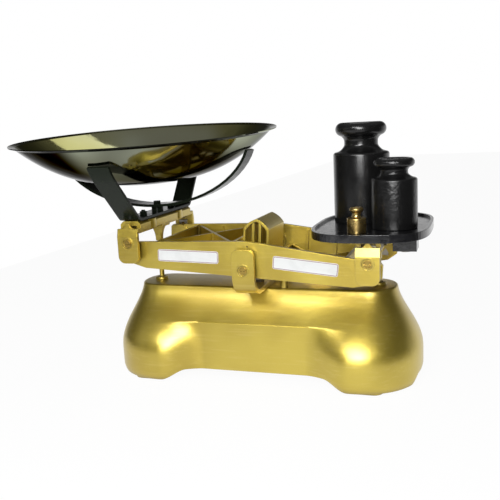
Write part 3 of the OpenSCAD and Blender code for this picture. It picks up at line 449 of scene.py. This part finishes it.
def bridge(rings):  # quads between rings of equal counts
    count = len(rings[0])
    faces = []
    for level in range(len(rings) - 1):
        for i in range(count):
            j = (i + 1) % count
            a, b = level * count, (level + 1) * count
            faces.append((a + i, a + j, b + j, b + i))
    return faces


def lathe(profile, centre, turn=Matrix.Identity(3), steps=128):  # profile: radius and height in metres
    points, rows = [], []
    for radius, height in profile:
        row = []
        for k in range(1 if radius < meshing["onAxis"] else steps):
            a = math.tau * k / steps
            row.append(len(points))
            points.append(centre + turn @ Vector((radius * math.cos(a), radius * math.sin(a), height)))
        rows.append(row)
    faces = []
    for low, high in zip(rows, rows[1:]):
        for k in range(steps):
            quad = [low[k % len(low)], low[(k + 1) % len(low)]]
            quad += [high[(k + 1) % len(high)], high[k % len(high)]]
            face = [v for i, v in enumerate(quad) if v not in quad[:i]]
            if len(face) > 2:
                faces.append(face)
    return points, faces


def arc(cx, cy, r, a0, a1, steps):
    line = []
    for i in range(steps + 1):
        a = math.radians(a0 + (a1 - a0) * i / steps)
        line.append((cx + r * math.cos(a), cy + r * math.sin(a)))
    return line


def inMetres(line):
    return [(a * mm, b * mm) for a, b in line]


# Base casting: the solid's own rings, drawn closer, with a lower edge that runs over feet and arches

base = {
    "height": 132.3, "topLong": 196, "topDeep": 41, "edge": 3.0, "wall": 6,
    "lobeOut": 34.4, "lobeDeep": 58, "lobeLow": 140, "lobeHigh": 157,
    "flare": 92, "flarePower": 0.9, "tuck": 0.1, "tuckHeight": 14,
    "waistHalf": 75, "waistDeep": 33, "waistIn": 1.2, "waistLean": 3,
    "crease": 84, "creasePower": 1.4, "cornerPower": 0.92,
    "archHeight": 15.5, "archIn": 102, "archOut": 137,
    "endArch": 12, "endFrom": 190, "endWidth": 24, "footHeight": 2.5, "liftPower": 3,
    "middle": (0, 15, 30, 45, 60), "perBlend": 26, "perLobe": 34,
    "outer": (3.4, 4.6, 6, 8, 11, 15, 20, 30, 40, 50, 58, 66, 73, 79, 82.5, 84, 85.5, 89, 94, 99,
              104, 109, 114, 119, 124, 127.5),
    "rounding": (0, 15, 30, 45, 60, 75, 90),
    "inner": (118, 108, 98, 90, 84, 76, 62, 48, 34, 20),
    "holeRadius": 5.35, "holePlay": 0.3, "holeLow": 118, "holeHigh": 140,
}
collar = {"radius": 9.5, "height": 4, "below": 8, "lip": 0.8, "round": 1.2, "fillet": 1.6, "skirt": (1.4, 1)}
foot = {"x": 161, "y": 77, "reach": 11, "radius": 12.5, "levels": [(0.92, 0), (0.98, 0.5), (1, 1.4), (1, 10)]}


def clamp(v):
    return min(1.0, max(0.0, v))


def ease(v):
    return v * v * (3 - 2 * v)


def lobeShare(z):
    share = ease(clamp((base["height"] - z) / base["flare"]) ** base["flarePower"])
    low = base["tuckHeight"]
    return share * (1 - base["tuck"] * ((low - z) / low) ** 2 if z < low else 1)


def topRound(z):
    low = base["height"] - base["edge"]
    return base["edge"] - math.sqrt(max(0, base["edge"] ** 2 - (z - low) ** 2)) if z > low else 0


def ringAt(z, inset):
    share = lobeShare(z)
    half, lean, power = base["waistHalf"], base["waistLean"], base["cornerPower"]
    long = base["topLong"] + base["lobeOut"] * share - inset - topRound(z)
    deep = base["topDeep"] + base["lobeDeep"] * share - inset - topRound(z)
    curve = clamp((base["height"] - z) / (base["height"] - base["crease"])) ** base["creasePower"]
    waist = base["topDeep"] - base["waistIn"] + (base["waistDeep"] - lean) * curve - inset - topRound(z)
    waist += lean * clamp((base["crease"] - z) / base["crease"])
    lobeX = base["lobeHigh"] + (base["lobeLow"] - base["lobeHigh"]) * share
    quarter = [(x, waist) for x in base["middle"]]
    for i in range(base["perBlend"] + 1):
        x = half + (lobeX - half) * i / base["perBlend"]
        t = ease(clamp((x - half) / (lobeX - half)))
        quarter.append((x, waist * (1 - t) + deep * t))
    for i in range(1, base["perLobe"] + 1):
        a = math.radians(90 * i / base["perLobe"])
        c = max(0.0, math.cos(a))
        quarter.append((lobeX + (long - lobeX) * math.sin(a) ** power, deep * c ** power))
    quarter[-1] = (long, 0.0)
    front = quarter + [(x, -y) for x, y in reversed(quarter[:-1])]
    return front + [(-x, -y) for x, y in quarter[1:]] + [(-x, y) for x, y in reversed(quarter[1:-1])]


def lowEdge(x, y):  # height of the casting's lower edge
    low, wide = base["footHeight"], base["endWidth"]
    across = 1 - ease(clamp((abs(x) - base["archIn"]) / (base["archOut"] - base["archIn"])))
    along = 1 - ease(clamp((abs(y) - wide) / wide)) if abs(x) > base["endFrom"] else 0
    return low + max((base["archHeight"] - low) * across, (base["endArch"] - low) * along)


def makeBase():
    piece = newPiece("base_body", [goldSmooth])
    low, high, edge = base["footHeight"], base["height"], base["edge"]
    outer = [low, *base["outer"]]
    outer += [high - edge + edge * math.sin(math.radians(a)) for a in base["rounding"]]
    inner = [high - base["wall"], *base["inner"], low]
    shells = []
    for heights, inset in ((outer, 0), (inner, base["wall"])):
        rings = []
        for z in heights:
            lift = ((high - z) / (high - low)) ** base["liftPower"]
            rings.append([place(x, y, z + (lowEdge(x, y) - low) * lift) for x, y in ringAt(z, inset)])
        shells.append(rings)
    count = len(shells[0][0])
    inside = len(outer) * count  # number of the first point of the inner shell
    last = inside + (len(inner) - 1) * count
    faces = bridge(shells[0]) + [tuple(i + inside for i in f) for f in bridge(shells[1])]
    faces.append(tuple(inside - count + i for i in range(count)))
    faces.append(tuple(inside + i for i in range(count)))
    faces += [(i, (i + 1) % count, last + (i + 1) % count, last + i) for i in range(count)]
    fill(piece, [p for rings in shells for ring in rings for p in ring], faces, sharp["base"])
    return piece


def makeCollar(x):
    r, lip, rounding, fillet = collar["radius"], collar["lip"], collar["round"], collar["fillet"]
    low, hole = base["height"], base["holeRadius"]
    high = low + collar["height"]
    profile = [(hole, low - collar["below"]), (hole, high - lip)]
    profile += arc(hole + lip, high - lip, lip, 180, 90, 4)
    profile += arc(r - rounding, high - rounding, rounding, 90, 0, 5)
    profile += [(r, low + fillet)] + arc(r + fillet, low + fillet, fillet, 180, 262, 5)
    profile += [(r + collar["skirt"][0], low - collar["skirt"][1])]
    return lathe(inMetres(profile), place(x, 0, 0), steps=64)


def makeFoot(x, y):
    centre = place(x, y, 0)
    outline = arc(foot["reach"] * mm, 0, foot["radius"] * mm, -90, 90, 20)
    outline += [(-p, -q) for p, q in outline]
    rings = [[centre + Vector((p * s, q * s, h * mm)) for p, q in outline] for s, h in foot["levels"]]
    count = len(outline)
    top = (len(rings) - 1) * count
    faces = bridge(rings) + [tuple(range(count))[::-1], tuple(range(top, top + count))]
    return [p for ring in rings for p in ring], faces


def addShape(points, faces, more):
    start = len(points)
    points += more[0]
    faces += [tuple(start + i for i in f) for f in more[1]]


def cutHoles(piece, cutters):
    for cutter in cutters:
        change = piece.modifiers.new("hole", "BOOLEAN")
        change.operation = "DIFFERENCE"
        change.solver = "EXACT"
        change.object = cutter
    graph = bpy.context.evaluated_depsgraph_get()
    solid = bpy.data.meshes.new_from_object(piece.evaluated_get(graph))
    piece.modifiers.clear()
    piece.data = solid
    for cutter in cutters:
        bpy.data.objects.remove(cutter)


def holeCutter(x):
    cutter = newPiece("hole_cutter", [])
    radius = base["holeRadius"] + base["holePlay"]
    low, high = base["holeLow"], base["holeHigh"]
    profile = [(0, low), (radius, low), (radius, high), (0, high)]
    fill(cutter, *lathe(inMetres(profile), place(x, 0, 0), steps=48))
    return cutter


baseBody = makeBase()
cutHoles(baseBody, [holeCutter(side * beam["armLength"]) for side in (-1, 1)])
baseBody.data.shade_smooth()
baseBody.data.set_sharp_from_angle(angle=math.radians(sharp["base"]))
fittings = newPiece("base_feet_and_collars", [gold])
points, faces = [], []
for side in (-1, 1):
    addShape(points, faces, makeCollar(side * beam["armLength"]))
    for end in (-1, 1):
        addShape(points, faces, makeFoot(side * foot["x"], end * foot["y"]))
fill(fittings, points, faces)
settle(fittings, "base", "gold_paint")
settle(baseBody, "base", "gold_paint", "base_casting")
print("base body made")


# Bowl: spun from one sheet, with a turned rim

bowl = {
    "x": -181.4, "z": 357, "lean": math.radians(3.8), "radius": 200.9, "rim": 9, "rimDrop": 3,
    "depth": 70, "sheet": 1.4, "power": 2.7, "wallSteps": 60, "rimSteps": 8,
}


def makeBowl():
    piece = newPiece("spun_bowl", [bowlInside, bowlOutside])
    inner, drop, sheet = bowl["radius"] - bowl["rim"], bowl["rimDrop"], bowl["sheet"]
    depth = bowl["depth"] - drop
    lower = []
    for i in range(bowl["wallSteps"] + 1):
        r = inner * math.sin(math.radians(90 * i / bowl["wallSteps"]))
        lower.append((r, -(drop + sheet + depth * (1 - (r / inner) ** bowl["power"]))))
    for i in range(1, bowl["rimSteps"] + 1):
        t = i / bowl["rimSteps"]
        lower.append((inner + (bowl["radius"] - inner) * t, -(sheet + drop * (1 - t))))
    upper = [(r, z + sheet) for r, z in reversed(lower)]
    rounded = [(bowl["radius"], -sheet / 2)]
    turn = Matrix.Rotation(bowl["lean"], 3, "X")
    profile = inMetres(lower + rounded + upper)
    fill(piece, *lathe(profile, place(bowl["x"], 0, bowl["z"]), turn, steps=192), sharp["bowl"])
    centre = place(bowl["x"], 0, bowl["z"] + 2 * bowl["radius"])
    for face in piece.data.polygons:  # the outside faces look away from the point above the bowl
        face.material_index = 1 if face.normal.dot(centre - face.center) < 0 else 0
    settle(piece, "bowl", "bowl_steel", "bowl")


makeBowl()
print("bowl made")


# Knob weights, turned from one outline each, in millimetres

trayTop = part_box("weight_5kg")[0][2] / mm
weights = [
    {"node": "weight_5kg", "body": "big_weight", "x": 142, "y": 36, "r": 40, "bodyHeight": 100,
     "height": 142, "knob": 36.2, "neck": 24, "finish": ironSmooth, "slot": "weight_iron"},
    {"node": "weight_2kg", "body": "middle_weight", "x": 196, "y": -31, "r": 30.5, "bodyHeight": 67,
     "height": 93.5, "knob": 27.15, "neck": 18.3, "finish": ironRough, "slot": "weight_iron"},
    {"node": "weight_200g", "body": "small_weight", "x": 152.5, "y": -76, "r": 12.5, "bodyHeight": 20,
     "height": 34, "knob": 9, "neck": 5.6, "finish": brass, "slot": "weight_brass"},
]
# Shares of the body's radius, of the rise above the body, or of the neck; "foot" is in millimetres
weightShape = {"edge": 0.1, "lip": 0.23, "foot": 1.2, "flare": 1.25, "waist": 1.03, "under": 1.15}


def smoothLine(points, steps):  # a curve through points
    line = []
    last = len(points) - 1
    for i in range(last):
        p0, p1, p2, p3 = (Vector(points[max(0, min(last, i + k))]) for k in (-1, 0, 1, 2))
        square = 2 * p0 - 5 * p1 + 4 * p2 - p3
        cube = 3 * p1 - p0 - 3 * p2 + p3
        for s in range(steps):
            t = s / steps
            line.append(0.5 * (2 * p1 + (p2 - p0) * t + square * t * t + cube * t ** 3))
    return [tuple(p) for p in line] + [tuple(points[-1])]


def makeWeight(w):
    piece = newPiece(w["node"] + "_turned", [w["finish"]])
    r, body, whole, knob, neck = w["r"], w["bodyHeight"], w["height"], w["knob"], w["neck"]
    edge = r * weightShape["edge"]
    rise = whole - body
    lip = rise * weightShape["lip"]
    soft, waist = weightShape["foot"], neck * weightShape["waist"]
    profile = [(0, 0), (r - soft, 0)] + arc(r - soft, soft, soft, -90, 0, 5)[1:]
    profile += arc(r - edge, body - edge, edge, 0, 78, 10)
    shoulder = [(r - edge * 0.9, body), (neck * weightShape["flare"], body + edge * 0.6)]
    throat = [(waist, body + rise * 0.2), (neck, body + rise * 0.34), (waist, body + rise * 0.44)]
    under = [(max(neck * weightShape["under"], knob - lip * 1.25), whole - lip * 2.05)]
    profile += smoothLine(shoulder + throat + under, 6)
    profile += arc(knob - lip, whole - lip, lip, -68, 88, 16)
    dish = [(knob - lip * 1.25, whole - 0.15), (knob * 0.6, whole - knob * 0.04)]
    dish += [(knob * 0.3, whole - knob * 0.07), (0, whole - knob * 0.08)]
    profile += smoothLine(dish, 5)
    fill(piece, *lathe(inMetres(profile), place(w["x"], w["y"], trayTop)), sharp["weight"])
    settle(piece, w["body"], w["slot"], w["node"])


for weight in weights:
    makeWeight(weight)
print("weights made")


# Bare label plates on the front cheek: white, with a thin line near the edge

labels = [
    {"name": "label_left", "x": -84.7, "z": -1.6, "long": 92, "high": 17.5, "turn": 2.2},
    {"name": "label_right", "x": 84.7, "z": -1.0, "long": 90, "high": 18, "turn": -2.2},
]
labelShape = {
    "corner": 3.2, "leastCorner": 0.6, "thick": 0.7, "margin": 0.9, "line": 0.7,
    "gap": 0.05, "soft": 0.15, "raised": 0.02, "step": 0.05,
}


def roundedRectangle(halfLong, halfHigh, corner, steps=6):
    outline = []
    for cx, cz, start in ((1, 1, 0), (-1, 1, 90), (-1, -1, 180), (1, -1, 270)):
        outline += arc(cx * (halfLong - corner), cz * (halfHigh - corner), corner, start, start + 90, steps)
    return outline


def onCheek(x, z, out):  # a point on the front cheek, in the beam's own tilted millimetres
    c, s = math.cos(beam["tilt"]), math.sin(beam["tilt"])
    return place(x * c + z * s, -beam["cheekY"] - out, beam["knifeZ"] - x * s + z * c)


def makeLabel(spec):
    piece = newPiece(spec["name"], [labelWhite, labelLine])
    thick, margin, soft, step = (labelShape[k] for k in ("thick", "margin", "soft", "step"))
    lineEnd, lineTop = margin + labelShape["line"], thick + labelShape["raised"]
    levels = [(0, labelShape["gap"]), (0, thick - soft), (soft, thick), (margin, thick)]
    levels += [(margin + step, lineTop), (lineEnd, lineTop), (lineEnd + step, thick)]
    c, s = math.cos(math.radians(spec["turn"])), math.sin(math.radians(spec["turn"]))
    rings = []
    for inset, out in levels:
        corner = max(labelShape["leastCorner"], labelShape["corner"] - inset)
        outline = roundedRectangle(spec["long"] / 2 - inset, spec["high"] / 2 - inset, corner)
        rings.append([onCheek(spec["x"] + p * c - q * s, spec["z"] + p * s + q * c, out) for p, q in outline])
    count = len(rings[0])
    lineFrom, lineTo = 3 * count, 6 * count  # numbers of the points that bound the thin line
    faces = bridge(rings) + [tuple(range(count)), tuple(range(lineTo, lineTo + count))]
    fill(piece, [p for ring in rings for p in ring], faces)
    for face in piece.data.polygons:
        onLine = len(face.vertices) == 4 and min(face.vertices) >= lineFrom and max(face.vertices) < lineTo
        face.material_index = 1 if onLine else 0
    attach(piece, "beam")


for label in labels:
    makeLabel(label)
print("labels made")


# Floor, surroundings, lamps and camera, in metres

floorPlate = {
    "left": -0.9, "right": 0.62, "near": -1.2, "far": 6, "lift": 0.95, "patch": 0.5,
    "tone": (0.86, 0.86, 0.86), "paler": (0.89, 0.89, 0.89), "roughness": 0.7,
}
room = {
    "level": 0.06, "ceiling": 0.2, "ceilingSpan": (0.5, 0.9),
    "backdrop": 1.0, "backdropSpan": (0.3, 0.75), "backdropTop": (0.05, 0.32),
}
lamps = [
    {"name": "key", "at": (0.3, -1.35, 0.62), "towards": (0.05, 0, 0.15), "size": (0.55, 0.6), "power": 19},
    {"name": "window", "at": (-0.1, -1.2, 1.0), "towards": (0.05, 0, 0.15), "size": (0.8, 0.3), "power": 9},
    {"name": "fill", "at": (-1.5, -0.9, 0.8), "towards": (0, 0, 0.15), "size": (0.8, 1.0), "power": 1},
    {"name": "top", "at": (0.0, 0.9, 1.75), "towards": (-0.05, 0, 0.2), "size": (0.7, 0.6), "power": 2},
]


def raySeen(wire):  # 1 for rays from the camera, and for those that metal and glass send on
    names = ("Is Camera Ray", "Is Glossy Ray", "Is Transmission Ray")
    seen, mirrored, sent = (wire.node("LightPath", out=name) for name in names)
    return (seen + mirrored + sent).clamped()


def makeFloor():  # pale paint, lifted towards white where it is seen or mirrored, so a faint shadow stays
    left, right, near, far = (floorPlate[k] for k in ("left", "right", "near", "far"))
    mesh = bpy.data.meshes.new("floor")
    mesh.from_pydata([(left, near, 0), (right, near, 0), (right, far, 0), (left, far, 0)], [], [(0, 1, 2, 3)])
    floor = bpy.data.objects.new("floor", mesh)
    bpy.context.scene.collection.objects.link(floor)
    material, wire, shader = newFinish("floor_paint")
    pale = wire.mix(grain(wire, floorPlate["patch"], 2), floorPlate["tone"], floorPlate["paler"])
    setShader(wire, shader, Base_Color=pale, Roughness=floorPlate["roughness"])
    white = wire.node("Emission", None, {"Color": (1, 1, 1), "Strength": 1.0})
    lift = raySeen(wire) * floorPlate["lift"]
    blend = wire.node("MixShader", None, {0: lift, 1: Wire(wire.tree, shader.outputs[0]), 2: white})
    wire.tree.links.new(blend.socket, wire.tree.nodes["Material Output"].inputs[0])
    mesh.materials.append(material)


def makeWorld():  # white for the camera; metals see a dim room, a paler ceiling and a white backdrop behind
    world = bpy.data.worlds.new("studio")
    bpy.context.scene.world = world
    world.use_nodes = True
    tree = world.node_tree
    tree.nodes.clear()
    wire = Wire(tree)
    facing = wire.node("TexCoord", out="Generated")
    ahead = facing.axis(1)
    up = facing.axis(2)
    around = room["level"] + up.between(*room["ceilingSpan"]) * room["ceiling"]
    backdrop = ahead.between(*room["backdropSpan"]) * (1 - up.between(*room["backdropTop"]))
    level = around + (1 - around) * (backdrop * room["backdrop"])
    seen = wire.node("LightPath", out="Is Camera Ray")
    strength = seen + (1 - seen) * level
    ground = wire.node("Background", None, {"Color": (1, 1, 1), "Strength": strength})
    output = tree.nodes.new("ShaderNodeOutputWorld")
    tree.links.new(ground.socket, output.inputs[0])


def makeLamp(spec):
    data = bpy.data.lights.new(spec["name"], "AREA")
    data.shape = "RECTANGLE"
    data.size, data.size_y = spec["size"]
    data.energy = spec["power"]
    lamp = bpy.data.objects.new(spec["name"], data)
    bpy.context.scene.collection.objects.link(lamp)
    lamp.location = spec["at"]
    lamp.rotation_euler = (Vector(spec["towards"]) - Vector(spec["at"])).to_track_quat("-Z", "Y").to_euler()


# The photograph's camera: its place in millimetres, its angles in degrees, its picture in pixels
camera = {
    "at": (304.2, -962.5, 364.2), "yaw": 18.7, "pitch": 10.3, "roll": -2.8,
    "focal": 688.8, "picture": 500, "sensor": 36, "nearest": 0.01,
}


def makeCamera():
    data = bpy.data.cameras.new("view")
    view = bpy.data.objects.new("view", data)
    bpy.context.scene.collection.objects.link(view)
    yaw, pitch, roll = (math.radians(camera[k]) for k in ("yaw", "pitch", "roll"))
    look = Vector((-math.sin(yaw) * math.cos(pitch), math.cos(yaw) * math.cos(pitch), -math.sin(pitch)))
    right = Vector((math.cos(yaw), math.sin(yaw), 0))
    up = right.cross(look)
    rolledRight = right * math.cos(roll) + up * math.sin(roll)
    rolledUp = up * math.cos(roll) - right * math.sin(roll)
    turn = Matrix((rolledRight, rolledUp, -look)).transposed().to_4x4()
    view.matrix_world = Matrix.Translation(place(*camera["at"])) @ turn
    data.sensor_fit = "HORIZONTAL"
    data.sensor_width = camera["sensor"]
    data.lens = camera["focal"] / camera["picture"] * camera["sensor"]
    data.clip_start = camera["nearest"]
    bpy.context.scene.camera = view


makeFloor()
makeWorld()
for lamp in lamps:
    makeLamp(lamp)
makeCamera()
bpy.context.scene.view_settings.view_transform = "Standard"
print("studio ready")
